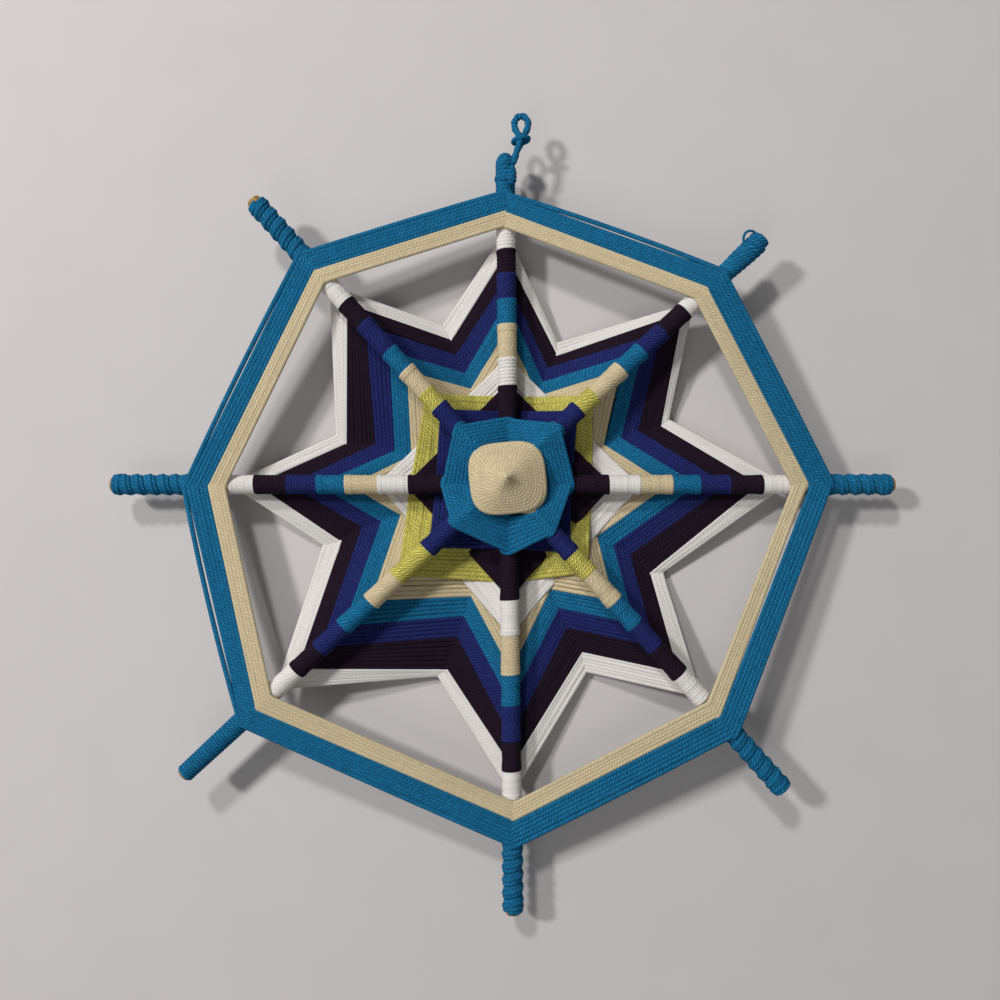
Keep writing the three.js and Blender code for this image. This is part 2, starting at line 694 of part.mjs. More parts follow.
addPiece(hanger, "hanger_stem", geometryOf(stemSolid()), "turquoise");
addPiece(hanger, "hanger_end_knot", geometryOf(endKnotSolid()), "turquoise");
const loop = cordAlong(LOOP_ROUTE, 2 * LOOP_ROUTE.length);
addPiece(hanger, "hanger_loop", geometryOf(solidOf(loop)), "turquoise");

// The origin is under the middle of everything but the hanger cord, on the table.
const box = new THREE.Box3().setFromObject(body, true);
const middle = box.getCenter(new THREE.Vector3()).setZ(box.min.z);
const ojo = new THREE.Group();
for (const group of [body, hanger]) {
  group.position.copy(middle).negate();
  ojo.add(group);
}

export default ojo;
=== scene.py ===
"""Ojo de dios: the yarn, sticks and hanger of a wound wall ornament, made by an add-on's operators."""

import json
import math

import bpy
import numpy as np
from bpy.props import FloatProperty, FloatVectorProperty, IntProperty, PointerProperty
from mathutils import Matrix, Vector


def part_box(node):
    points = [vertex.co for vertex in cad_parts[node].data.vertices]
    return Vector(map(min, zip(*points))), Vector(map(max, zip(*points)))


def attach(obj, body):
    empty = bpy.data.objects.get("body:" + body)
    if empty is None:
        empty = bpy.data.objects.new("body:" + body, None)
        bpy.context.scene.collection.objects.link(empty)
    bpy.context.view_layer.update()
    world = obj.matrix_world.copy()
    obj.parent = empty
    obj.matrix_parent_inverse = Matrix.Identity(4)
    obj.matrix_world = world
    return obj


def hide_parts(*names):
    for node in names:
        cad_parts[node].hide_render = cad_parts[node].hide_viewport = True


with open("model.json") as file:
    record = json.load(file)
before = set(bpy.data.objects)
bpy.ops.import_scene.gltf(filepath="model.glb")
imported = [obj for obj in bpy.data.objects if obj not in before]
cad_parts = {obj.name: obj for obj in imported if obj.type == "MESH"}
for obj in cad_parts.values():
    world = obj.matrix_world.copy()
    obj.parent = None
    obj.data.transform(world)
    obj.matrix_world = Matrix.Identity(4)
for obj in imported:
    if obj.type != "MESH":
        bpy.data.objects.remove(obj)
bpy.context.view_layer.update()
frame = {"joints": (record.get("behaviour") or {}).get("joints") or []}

bl_info = {
    "name": "Ojo de dios",
    "version": (1, 0, 0),
    "blender": (4, 5, 0),
    "location": "View3D > Sidebar > Ojo de dios",
    "description": "Winds the yarn of an eight-armed ojo de dios on its sticks",
    "category": "Object",
}

MM = 0.001
UP = np.array((0.0, 0.0, 1.0))
TURN_POINTS = 24

# The eight arms, counted left round from the right-hand one, in millimetres and degrees
ARM_NAMES = ("right", "upper_right", "top", "upper_left", "left", "lower_left", "bottom", "lower_right")
TURN = np.radians((0, 42.8, 90.6, 132, 180, 222.8, 270.6, 312))
# Where the octagon, two squares and four stars end on an even arm, and each arm's own stretch of that
EVEN_PLUS = (22.3, 33.8, 44.2, 55.3, 64.8, 75.0, 86.0)
EVEN_DIAGONAL = (27.5, 36.0, 44.2, 55.3, 64.8, 75.0, 86.0)
STRETCH = np.array(
    (
        (1, 1, 1, 1, 1, 1, 1),
        (0.95, 0.945, 0.925, 0.97, 0.97, 0.967, 0.957),
        (1, 0.985, 0.97, 0.98, 0.966, 0.948, 0.925),
        (0.945, 0.965, 0.94, 0.925, 0.922, 0.963, 0.945),
        (1, 1, 1, 1, 1, 1, 1),
        (0.825, 0.965, 1.095, 1.092, 1.125, 1.117, 1.095),
        (1.03, 1.155, 1.15, 1.162, 1.155, 1.155, 1.125),
        (0.78, 0.865, 0.91, 0.953, 0.974, 0.977, 0.99),
    )
)
# Where a star's strand passes behind the next arm when it leaves one, and behind the arm before when it
# comes to one, as shares of those arms' own radius
LEAVING = np.array((0.556, 0.513, 0.571, 0.604, 0.491, 0.599, 0.596, 0.486))
COMING = np.array((0.614, 0.552, 0.44, 0.56, 0.472, 0.617, 0.492, 0.534))
# How much farther out it passes there at the end of the dark purple star, and at the end of the white one
LEAVING_FARTHER = np.array(((0, -1.5, -1, 5, 5, 7.5, 4, 0), (0, 0, 0, 2, 4, 1, 2, -1)))
COMING_FARTHER = np.array(((3, 2.5, 1.5, -0.5, 0, -1, 7.5, 2), (-3.5, -1, 0.5, 0, 0, -0.5, 5, 3.5)))
NECK = np.array((9.4, 3.2, 5.7, 8, 9.4, 10.5, 9.9, 14.4))
TIP = np.array((21.4, 18.4, 12.9, 24.8, 25.5, 27.5, 25.3, 23.7))
RISING_OFFSET = 2.6
EDGE_BEIGE = 5.2
EDGE_TURQUOISE = 8.7
STICK_RADIUS = 2.4
# The tone changes more, and sooner, on the short wraps than on the long windings
WRAP_TONE = {"spread": 0.25, "length": 4.0}
# The places of the hanger's cord, from the pivot of its swing
CORD_PLACES = np.array(
    (
        (0, 0, 0),
        (0.55, 2.1, 0.1),
        (1.15, 4.2, -0.1),
        (1.85, 6.4, -0.6),
        (2.1, 8.0, -0.9),
        (1.75, 9.2, -1.2),
        (1.0, 10.5, -1.6),
        (0.15, 12.2, -2.1),
        (0.2, 14.6, -2.6),
        (1.5, 16.3, -2.9),
        (3.3, 16.4, -2.9),
        (4.75, 14.8, -2.6),
        (4.85, 12.4, -2.2),
        (3.9, 10.5, -2.2),
        (3.1, 9.1, -3.1),
        (2.3, 7.4, -3.2),
        (1.6, 5.4, -2.9),
    )
)

IS_DIAGONAL = np.arange(8) % 2 == 1
BAND_ENDS = STRETCH * np.where(IS_DIAGONAL[:, None], EVEN_DIAGONAL, EVEN_PLUS)
EVEN_EDGE = BAND_ENDS[:, -1] + NECK
REACH = EVEN_EDGE + EDGE_BEIGE + EDGE_TURQUOISE + TIP
# The edge isn't wound quite evenly: by how much its start, its change of yarn and its end lie farther out
EDGE_INNER = EVEN_EDGE + (0.0, 2.0, 1.6, 1.2, -0.2, 0.4, 0.0, -2.2)
EDGE_CHANGE = EDGE_INNER + EDGE_BEIGE + (0.5, 0.0, 0.0, 0.0, 0.4, 1.6, 0.8, 0.8)
EDGE_OUTER = EDGE_CHANGE + EDGE_TURQUOISE + (0.2, 0.0, -2.0, -0.7, 0.1, -0.9, 0.6, 0.2)
# The white star goes on over the neck, and stops a little before the edge
NECK_GAP = 0.5
ENDS = np.column_stack((BAND_ENDS, EDGE_INNER - NECK_GAP))


def box_mm(node):
    """A node's lowest and highest corner in millimetres."""
    return [np.array(corner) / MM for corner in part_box(node)]


def middle_mm(node):
    """The middle of a node's box in millimetres."""
    low, high = box_mm(node)
    return (low + high) / 2


CROSSING = np.array((box_mm("stick_horizontal")[1][0] - REACH[0], middle_mm("stick_horizontal")[1]))
ALONG = np.stack((np.cos(TURN), np.sin(TURN), np.zeros(8)), axis=1)
LEFT = np.stack((-np.sin(TURN), np.cos(TURN), np.zeros(8)), axis=1)
BASE = np.tile(np.append(CROSSING, 0.0), (8, 1))
BASE[:, 2] = np.where(IS_DIAGONAL, middle_mm("stick_rising")[2], middle_mm("stick_horizontal")[2])
BASE[[1, 5]] += RISING_OFFSET * LEFT[1]


def linear(hex_colour):
    """The scene-linear red, green and blue of an sRGB hex value."""
    srgb = np.array([int(hex_colour[i : i + 2], 16) for i in (1, 3, 5)]) / 255
    return tuple(np.where(srgb <= 0.04045, srgb / 12.92, ((srgb + 0.055) / 1.055) ** 2.4))


def smooth(x):
    """The smooth step 3x^2 - 2x^3 from 0 to 1, held at both ends."""
    x = np.clip(x, 0, 1)
    return x * x * (3 - 2 * x)


def on_arm(arm, radius):
    """The point on an arm's axis at a distance from the crossing: base + radius x direction."""
    return BASE[arm] + np.asarray(radius)[..., None] * ALONG[arm]


def facing(path, way):
    """A path with the way that its yarn faces, which is one for all its points or one for each."""
    return np.concatenate((path, np.broadcast_to(way, path.shape)), axis=-1)


def size(name, description, default_mm):
    """A length property whose default is given in millimetres."""
    return FloatProperty(
        name=name, description=description, default=default_mm * MM, min=0, unit="LENGTH", precision=5
    )


def tint(name, description, hex_colour):
    """A colour property whose default is given as an sRGB hex value."""
    return FloatVectorProperty(
        name=name, description=description, default=linear(hex_colour), subtype="COLOR", size=3, min=0, max=1
    )


class OjoSizes(bpy.types.PropertyGroup):
    """Sizes of the yarn and of its windings."""

    yarn_width: size("Yarn width", "Width of one strand lying flat", 1.7)
    yarn_thickness: size("Yarn thickness", "Height of one strand lying flat", 1.1)
    ply_pitch: size("Ply pitch", "Distance between two plies along a strand", 1.0)
    sleeve: size("Sleeve radius", "From a stick's axis to the middle of a strand wound on it", 2.86)
    pass_height: size("Pass height", "From a stick's axis to a strand that crosses the wraps", 3.75)
    layer: size("Layer", "How far a strand lies behind the one it crosses", 1.2)
    star_level: size("Star level", "Height of the stars' front strands between the arms", 3.95)
    cone_turns: IntProperty(
        name="Cone turns", description="Turns of yarn in the eye", default=14, min=3, max=20
    )


class OjoColours(bpy.types.PropertyGroup):
    """Colours of the yarns, the wood and the table."""

    beige: tint("Beige yarn", "Eye, one star and the inner edge", "#d3c29d")
    turquoise: tint("Turquoise yarn", "Octagon, one star, outer edge, stick ends and hanger", "#1d6f9a")
    dark_blue: tint("Dark blue yarn", "One square and one star", "#262d68")
    dark_purple: tint("Dark purple yarn", "One square and one star", "#241826")
    lime: tint("Lime yarn", "One square", "#cdc462")
    white: tint("White yarn", "One square, the outer star and the necks", "#e4dfda")
    wood: tint("Wood", "Bare dowel", "#ab8843")
    table: tint("Table", "Pale table under the ornament", "#cdc8c6")


def add_node(tree, kind, inputs=None, **settings):
    """Adds one node with its settings. An input, by name or number, gets a value or another node's output."""
    node = tree.nodes.new(f"ShaderNode{kind}")
    for name, value in settings.items():
        setattr(node, name, value)
    for socket, value in (inputs or {}).items():
        if isinstance(value, bpy.types.NodeSocket):
            tree.links.new(value, node.inputs[socket])
        else:
            node.inputs[socket].default_value = value
    return node


def fresh_material(name):
    """A material without nodes as yet, and its node tree."""
    material = bpy.data.materials.new(name)
    material.use_nodes = True
    material.node_tree.nodes.clear()
    return material, material.node_tree


def toned(colour, factor):
    """A colour times a factor, with the alpha that a node's input needs."""
    return tuple(min(1.0, channel * factor) for channel in colour) + (1.0,)


def plied_yarn(name, colour, depth):
    """Acrylic yarn of four soft plies, matt: the plies wind round the strand, so it shows slanted dashes with
    painted shade in the groove between them, beside a real bump there. Fibres along the plies give fine pale
    streaks, partly their own random tone and partly painted highlight, and the tone drifts along the strand.
    The yarn map gives plies passed along a strand, and turns round it."""
    material, tree = fresh_material(name)
    strand_map = add_node(tree, "UVMap", uv_map="Yarn")
    split = add_node(tree, "SeparateXYZ", {0: strand_map.outputs[0]})
    along, turns = split.outputs[:2]
    # Place across the plies: 4 turns round + plies along, so a groove falls on every whole number
    lay = add_node(tree, "Math", {0: turns, 1: 4.0, 2: along}, operation="MULTIPLY_ADD")
    # The twist is hard in places and slack in others: it drifts by a ply or so over some 8 plies
    slack = {"W": along, "Scale": 0.12, "Detail": 1.0}
    drift = add_node(tree, "TexNoise", slack, noise_dimensions="1D")
    drifted = {0: drift.outputs[0], 1: 2.5, 2: lay.outputs[0]}
    twist = add_node(tree, "Math", drifted, operation="MULTIPLY_ADD")
    angle = add_node(tree, "Math", {0: twist.outputs[0], 1: 2 * math.pi}, operation="MULTIPLY")
    wave = add_node(tree, "Math", {0: angle.outputs[0]}, operation="COSINE")
    groove = add_node(tree, "MapRange", {0: wave.outputs[0], 1: -0.3, 2: 1.0})
    # Fibres: noise a third of a ply across and two plies along
    grain = add_node(tree, "CombineXYZ", {0: twist.outputs[0], 1: along})
    drawn = add_node(tree, "Mapping", {0: grain.outputs[0], "Scale": (3.0, 0.5, 1.0)})
    noise = {"Vector": drawn.outputs[0], "Scale": 1.0, "Detail": 2.0, "Roughness": 0.6}
    fibres = add_node(tree, "TexNoise", noise)
    fleck = add_node(tree, "MapRange", {0: fibres.outputs[0], 1: 0.32, 2: 0.7})
    tone = add_node(tree, "Attribute", attribute_name="tone")
    # Colour: pale streaks on the fibres, partly random tone and partly painted highlight, painted shade in
    # the groove, times the tone
    dull, pale, dark = (toned(colour, factor) for factor in (1 - 0.6 * depth, 1 + 0.9 * depth, 1 - depth))
    yarn = add_node(tree, "Mix", {0: fleck.outputs[0], 6: dull, 7: pale}, data_type="RGBA")
    plies = add_node(tree, "Mix", {0: groove.outputs[0], 6: yarn.outputs[2], 7: dark}, data_type="RGBA")
    drifting = add_node(tree, "HueSaturation", {"Color": plies.outputs[2], "Value": tone.outputs["Fac"]})
    # Relief: a groove 0.1 mm deep between plies
    ridge = add_node(tree, "Math", {0: groove.outputs[0], 1: -1.0}, operation="MULTIPLY")
    relief = add_node(tree, "Bump", {"Height": ridge.outputs[0], "Strength": 0.6, "Distance": 0.1 * MM})
    acrylic = {"Base Color": drifting.outputs[0], "Normal": relief.outputs[0]}
    acrylic |= {"Roughness": 0.95, "IOR": 1.45, "Specular IOR Level": 0.1}
    surface = add_node(tree, "BsdfPrincipled", acrylic)
    add_node(tree, "OutputMaterial", {0: surface.outputs[0]})
    return material


def dowel_wood(name, colour):
    """Birch dowel, turned and left raw: fine pores run along it as darker dashes, the growth rings give broad
    streaks, and the dry surface is matt. The wood map gives millimetres along and round the stick."""
    material, tree = fresh_material(name)
    grain = add_node(tree, "UVMap", uv_map="Wood")
    # Streaks 1.2 mm wide and 25 mm long, pores 0.25 mm wide and 4 mm long
    wide = add_node(tree, "Mapping", {0: grain.outputs[0], "Scale": (1 / 25, 1 / 1.2, 1)})
    streaks = add_node(tree, "TexNoise", {"Vector": wide.outputs[0], "Scale": 1.0, "Detail": 3.0})
    narrow = add_node(tree, "Mapping", {0: grain.outputs[0], "Scale": (1 / 4, 1 / 0.25, 1)})
    pores = add_node(tree, "TexNoise", {"Vector": narrow.outputs[0], "Scale": 1.0, "Detail": 2.0})
    ramp = add_node(tree, "MapRange", {0: streaks.outputs[0], 1: 0.3, 2: 0.7})
    late, early, pore = (toned(colour, factor) for factor in (0.62, 1.15, 0.4))
    rings = add_node(tree, "Mix", {0: ramp.outputs[0], 6: late, 7: early}, data_type="RGBA")
    dash = add_node(tree, "MapRange", {0: pores.outputs[0], 1: 0.56, 2: 0.72, 4: 0.55})
    wood = add_node(tree, "Mix", {0: dash.outputs[0], 6: rings.outputs[2], 7: pore}, data_type="RGBA")
    relief = add_node(tree, "Bump", {"Height": pores.outputs[0], "Strength": 0.3, "Distance": 0.1 * MM})
    birch = {"Base Color": wood.outputs[2], "Normal": relief.outputs[0], "Roughness": 0.62, "IOR": 1.5}
    surface = add_node(tree, "BsdfPrincipled", birch)
    add_node(tree, "OutputMaterial", {0: surface.outputs[0]})
    return material


def yarn_of(context, name):
    """The yarn material of a colour, made once. Pale yarns get less painted groove shade and fibre highlight.
    """
    title = f"{name.replace('_', ' ').capitalize()} acrylic yarn"
    made = bpy.data.materials.get(title)
    if made is None:
        # How strong the painted groove shade and fibre highlight are on each yarn
        depth = {"white": 0.12, "beige": 0.3, "dark_purple": 0.55}.get(name, 0.65)
        made = plied_yarn(title, tuple(getattr(context.scene.ojo_colours, name)), depth)
    return made


def lengths_of(path):
    """Distance run at each point of a path: the running sum of the steps between points."""
    steps = np.linalg.norm(np.diff(path[:, :3], axis=0), axis=1)
    return np.append(0.0, np.cumsum(steps))


def ways_of(path):
    """The way that a path runs at each of its points, one long."""
    way = np.gradient(path[:, :3], axis=0)
    return way / np.linalg.norm(way, axis=1, keepdims=True)


def at_lengths(path, run, wanted):
    """The path's columns read off at wanted distances, straight between its points."""
    return np.stack([np.interp(wanted, run, column) for column in path.T], axis=1)


def softened(path, bend):
    """A path with its corners rounded: points every quarter millimetre, each the bell-weighted mean of its
    neighbours within three bends."""
    run = lengths_of(path)
    step = 0.25
    even = at_lengths(path, run, np.linspace(0, run[-1], int(run[-1] / step) + 2))
    reach = int(3 * bend / step)
    weights = np.exp(-0.5 * (np.arange(-reach, reach + 1) * step / bend) ** 2)
    padded = np.pad(even, ((reach, reach), (0, 0)), mode="edge")
    weights /= weights.sum()
    return np.stack([np.convolve(column, weights, "valid") for column in padded.T], axis=1)


def thinned(path, straight, bend_degrees):
    """Points of a path set by need, as equal shares of the running sum of both needs: one point for each
    straight length run, and one for each bend turned."""
    run = lengths_of(path)
    way = ways_of(path)
    turned = np.degrees(np.arccos(np.clip((way[1:] * way[:-1]).sum(axis=1), -1, 1)))
    need = np.append(0.0, np.cumsum(np.diff(run) / straight + turned / bend_degrees))
    wanted = np.interp(np.linspace(0, need[-1], int(need[-1]) + 2), need, run)
    return at_lengths(path, run, wanted), wanted


def strand(path, run, width, thickness, sides, ply=0.0, ply_pitch=2.0):
    """A yarn carried along a path. Round each point p(s) the ring is p + cos(a) out h/2 + sin(a) across w/2,
    where out is the path's facing made square to its way, and across is square to both. With ply, the ring is
    1 + ply cos(2a + 2 pi s / pitch) times as large, so that two plies twist round each other."""
    way = ways_of(path)
    across = np.cross(way, path[:, 3:6])
    across /= np.linalg.norm(across, axis=1, keepdims=True)
    out = np.cross(across, way)
    angle = np.pi / 2 + 2 * np.pi * np.arange(sides) / sides
    swell = 1 + ply * np.cos(2 * angle + 2 * np.pi * run[:, None] / ply_pitch)
    height, breadth = (np.broadcast_to(full, run.shape)[:, None] / 2 for full in (thickness, width))
    return (
        path[:, None, :3]
        + out[:, None] * (np.cos(angle) * swell * height)[..., None]
        + across[:, None] * (np.sin(angle) * swell * breadth)[..., None]
    )


def add_piece(name, body, material, tubes, map_name="Yarn", unit=1.0, tones=None):
    """A mesh of tubes. Each tube is a grid of rings: its sides are quads between neighbouring rings, its two
    ends single faces, and its map gives distance run over the unit, and turns round."""
    points, corners, starts, maps, shades = [], [], [], [], []
    offset = corner_count = 0
    for number, (rings, run) in enumerate(tubes):
        count, sides = rings.shape[:2]
        index = offset + np.arange(count * sides).reshape(count, sides)
        following = np.roll(index, -1, axis=1)
        quads = np.stack((index[:-1], following[:-1], following[1:], index[1:]), axis=-1).reshape(-1, 4)
        ends = np.stack((index[0][::-1], index[-1]))
        turn = np.arange(sides + 1) / sides
        along = np.broadcast_to((run / unit)[:, None], (count, sides))
        first = np.broadcast_to(turn[:-1], (count - 1, sides))
        second = np.broadcast_to(turn[1:], (count - 1, sides))
        pairs = ((along[:-1], first), (along[:-1], second), (along[1:], second), (along[1:], first))
        side_map = np.stack([np.stack(pair, axis=-1) for pair in pairs], axis=2).reshape(-1, 2)
        end_map = np.concatenate([np.stack((along[end], turn[:-1]), axis=1) for end in (0, -1)])
        points.append(rings.reshape(-1, 3))
        corners += [quads.ravel(), ends.ravel()]
        ends_start = corner_count + 4 * len(quads)
        starts += [np.arange(corner_count, ends_start, 4), ends_start + sides * np.arange(2)]
        maps += [side_map, end_map]
        shade = 1.0 if tones is None else tones[number]
        shades.append(np.broadcast_to(shade, (count,)).repeat(sides))
        offset += count * sides
        corner_count = ends_start + 2 * sides
    points = np.concatenate(points) * MM
    corners = np.concatenate(corners).astype(np.int32)
    starts = np.concatenate(starts).astype(np.int32)
    mesh = bpy.data.meshes.new(name)
    mesh.vertices.add(len(points))
    mesh.vertices.foreach_set("co", points.astype(np.float32).ravel())
    mesh.loops.add(len(corners))
    mesh.loops.foreach_set("vertex_index", corners)
    mesh.polygons.add(len(starts))
    mesh.polygons.foreach_set("loop_start", starts)
    layer = mesh.uv_layers.new(name=map_name).data
    layer.foreach_set("uv", np.concatenate(maps).astype(np.float32).ravel())
    tone = mesh.attributes.new("tone", "FLOAT", "POINT").data
    tone.foreach_set("value", np.concatenate(shades).astype(np.float32))
    mesh.update(calc_edges=True)
    mesh.shade_smooth()
    if mesh.validate():
        raise RuntimeError(f"{name} has faces that aren't real")
    mesh.materials.append(material)
    piece = bpy.data.objects.new(name, mesh)
    bpy.context.collection.objects.link(piece)
    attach(piece, body)
    return piece


class Winding:
    """The sizes and the random numbers of one winding, and the yarn that is made with them."""

    def __init__(self, context, seed):
        self.context = context
        sizes = context.scene.ojo_sizes
        self.sleeve = sizes.sleeve / MM
        self.crossing = sizes.pass_height / MM - self.sleeve
        self.layer = sizes.layer / MM
        self.star_level = sizes.star_level / MM
        self.width = sizes.yarn_width / MM
        self.thickness = sizes.yarn_thickness / MM
        self.pitch = sizes.ply_pitch / MM
        self.random = np.random.default_rng(seed)

    def stray(self, shape, spread):
        """Random numbers, evenly spread about nought."""
        return spread * (self.random.random(shape) - 0.5)

    def wraps(self, arm, radius, lead, behind, swell, depth, turns=1, tuck=0.0):
        """Turns round each arm visited, from its back (or front) by its left side, round to where it began.
        The point is axis(radius + lead (share - 1/2) - tuck sin(pi share)) + reach (cos turn left + sin turn
        up). The reach is the sleeve with its swell, and farther by the depth in the first and last fifth of
        a turn, where the yarn crosses the wraps that are there already."""
        turns = np.broadcast_to(turns, arm.shape)[:, None]
        share = np.linspace(0, 1, TURN_POINTS * int(turns.max()) + 1)
        start = -np.pi / 2 if behind else np.pi / 2
        turn = start + 2 * np.pi * turns * share * (1 if behind else -1)
        ends = 1 - smooth(np.minimum(share, 1 - share) * turns / 0.2)
        reach = self.sleeve + np.asarray(swell)[..., None] + np.asarray(depth)[..., None] * ends
        out = np.cos(turn)[..., None] * LEFT[arm][:, None] + np.sin(turn)[..., None] * UP
        place = radius[:, None] + lead[:, None] * (share - 0.5) - tuck * np.sin(np.pi * share)
        return facing(on_arm(arm[:, None], place) + reach[..., None] * out, out)

    def legs(self, points, heights, behind):
        """Straight stretches in plan with their heights given, facing up or down."""
        stretch = np.concatenate((points[..., :2], heights[..., None]), axis=-1)
        return facing(stretch, -UP if behind else UP)

    def yarn(
        self, stretches, bend=0.7, straight=3.0, bend_degrees=24.0, sides=8, width=None, thickness=None
    ):
        """Joins the stretches, rounds the corners and carries the yarn along them."""
        path = softened(np.concatenate([stretch.reshape(-1, 6) for stretch in stretches]), bend)
        path, run = thinned(path, straight, bend_degrees)
        return strand(path, run, width or self.width, thickness or self.thickness, sides), run

    def tone(self, run, spread, length):
        """A slow change of tone along a yarn: random values a length apart, joined by straight lines."""
        knots = np.arange(0, run[-1] + 2 * length, length)
        return np.interp(run, knots, 1 + self.stray(len(knots), spread))

    def make(self, name, colour, tubes, *nodes, body="ornament", spread=0.1, length=9.0):
        """A piece of one colour of yarn in place of its nodes, with a tone that drifts along each tube."""
        tones = [self.tone(run, spread, length) for _, run in tubes]
        material = yarn_of(self.context, colour)
        piece = add_piece(name, body, material, tubes, unit=self.pitch, tones=tones)
        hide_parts(*nodes)
        return piece


def radius_on(arm, step, share):
    """A radius on an arm: between the ends of its step before and its own, at the share of the way."""
    return ENDS[arm, step] + share * (ENDS[arm, step + 1] - ENDS[arm, step])


def visits(winding, arms, step, rounds):
    """A band's visits to its arms in turn: arm, share of the band, radius, lead, turns wound and swell. Each
    round has its own equal share of every arm, and its turns lie half over each other, so no wood shows."""
    visit = np.arange(len(arms) * rounds + 1)
    arm = np.array(arms)[visit % len(arms)]
    share = np.minimum((visit // len(arms) + 0.5) / rounds, 1 - 0.15 / rounds)
    lead = (ENDS[arm, step + 1] - ENDS[arm, step]) / rounds
    # The yarn ends soon after it has come back to its first arm
    lead[-1] *= 0.3
    radius = radius_on(arm, step, share) + winding.stray(len(visit), 0.1)
    turns = np.maximum(np.round(lead / (winding.width / 2)), 1)
    swell = 0.12 * smooth((share - 0.75) / 0.2) + winding.stray(len(visit), 0.08)
    return arm, share, radius, lead, turns, swell


def chord_ends(winding, wraps, arm, lead):
    """Where the chords between two visits start and end: behind the middle of each visit's wraps, up to a
    quarter of a millimetre off it."""
    stray = winding.stray((2, len(arm) - 1, 1), 0.5)
    here = wraps[:-1, -1, :3] - (lead[:-1, None] / 2 + stray[0]) * ALONG[arm[:-1]]
    there = wraps[1:, 0, :3] + (lead[1:, None] / 2 + stray[1]) * ALONG[arm[1:]]
    return here, there


def threaded(wraps, chords):
    """Wraps and chords in the order that the yarn runs through them."""
    return [part for pair in zip(wraps, chords) for part in pair] + [wraps[-1]]


def star_yarn(winding, step, rounds, start):
    """One star: from arm to the third next, again and again. Each chord runs from the back of its arm to the
    waist behind the next two arms, and on to the back of the third. Between the arms it lies at the star's
    level, one layer lower past the place where it meets the neighbouring chord, and two behind both arms.
    Two legs whose waists are the shares v and w of the radius meet at (1 - w) / (1 - v w) of the leg to v."""
    layer = winding.layer
    arms = [(start + 3 * stop) % 8 for stop in range(8)]
    arm, share, radius, lead, turns, swell = visits(winding, arms, step, rounds)
    # The first stars leave the upright cross lower down, under the squares
    low = np.where(IS_DIAGONAL[arm], 0.0, np.interp(step + share, (2, 3.7), (3.4, 0.0)))
    wraps = winding.wraps(arm, radius, lead, True, swell, winding.crossing + low, turns)
    here, there = chord_ends(winding, wraps, arm, lead)
    middle = (share[:-1] + share[1:]) / 2
    # Place counted from the end of the dark purple star, which the white one follows
    place = (step + middle - 6)[:, None]
    wider = np.concatenate((np.clip(1 - np.abs(place), 0, 1), np.clip(place, 0, 1)), axis=1)

    def waist(shares, farther, own, behind):
        """Where an arm's chord passes behind another arm, as a share of that one's radius."""
        return shares[own] + (wider * farther[:, own].T).sum(axis=1) / radius_on(behind, step, middle)

    first, last = arm[:-1], arm[1:]
    near, far = (first + 1) % 8, (first + 2) % 8
    leaving = waist(LEAVING, LEAVING_FARTHER, first, near)
    coming = waist(COMING, COMING_FARTHER, last, far)
    first_bend = on_arm(near, leaving * radius_on(near, step, middle))
    second_bend = on_arm(far, coming * radius_on(far, step, middle))
    # Each star lies a tenth of a millimetre behind the one before
    level = winding.star_level - 0.1 * (step - 2 + middle) + winding.stray(len(middle), 0.2)
    part = np.linspace(0, 1, 40)[1:]

    def leg(end, bend, own, other):
        """A leg from an arm to its first bend, coming down evenly to where it meets its neighbour."""
        meeting = ((1 - other) / (1 - own * other))[:, None]
        plan = end[:, None] + part[:, None] * (bend - end)[:, None]
        fall = np.clip(part / (0.9 * meeting), 0, 1)
        drop = layer * smooth((part - meeting + 0.07) / 0.14)
        return plan, end[:, 2:] + (level[:, None] - end[:, 2:]) * fall - drop

    out_plan, out_height = leg(here, first_bend, leaving, waist(COMING, COMING_FARTHER, near, first))
    in_plan, in_height = leg(there, second_bend, coming, waist(LEAVING, LEAVING_FARTHER, far, last))
    between = np.linspace(0, 1, 24)[1:-1]
    across = first_bend[:, None] + between[:, None] * (second_bend - first_bend)[:, None]
    behind = layer * (1 + smooth(np.minimum(between, 1 - between) / 0.25))
    chords = [
        winding.legs(out_plan, out_height, True),
        winding.legs(across, level[:, None] - behind, True),
        winding.legs(in_plan[:, ::-1], in_height[:, ::-1], True),
    ]
    return winding.yarn(threaded(wraps, np.concatenate(chords, axis=1)))


def square_yarn(winding, arms, step, rounds, middle, flat, slip):
    """One square: from arm to arm of one cross. Each chord lies at the middle height over the flat stretch
    about the arm that it passes behind, and climbs evenly from there to the backs of its own arms. It has
    slipped outwards along each arm by that arm's slip, and is straight in plan between them."""
    arm, share, radius, lead, turns, swell = visits(winding, arms, step, rounds)
    wraps = winding.wraps(arm, radius, lead, True, swell, winding.crossing, turns)
    here, there = chord_ends(winding, wraps, arm, lead)
    shift = np.array(slip)[:, None] * ALONG
    passed = (arm[:-1] + 1) % 8
    here, there = here + shift[arm[:-1]], there + shift[arm[1:]]
    part = np.linspace(0, 1, 70)[1:-1]
    plan = here[:, None] + part[:, None] * (there - here)[:, None]
    off, off_there = (((end - BASE[passed]) * LEFT[passed]).sum(axis=1)[:, None] for end in (here, there))
    crossed = off / (off - off_there)
    side = np.where(part < crossed, crossed, 1 - crossed)
    away = np.abs(part - crossed) / side
    length = np.linalg.norm((there - here)[:, :2], axis=1)[:, None] * side
    flat = np.minimum(flat, 0.9 * length)
    climb = np.clip((away * length - flat) / (length - flat), 0, 1)
    plan = plan + ((1 - away) * share[:-1, None])[..., None] * shift[passed][:, None]
    ends = here[:, 2:] + (there - here)[:, 2:] * part
    height = middle + winding.stray((len(here), 1), 0.3)
    chords = winding.legs(plan, height + (ends - height) * climb, True)
    return winding.yarn(threaded(wraps, chords))


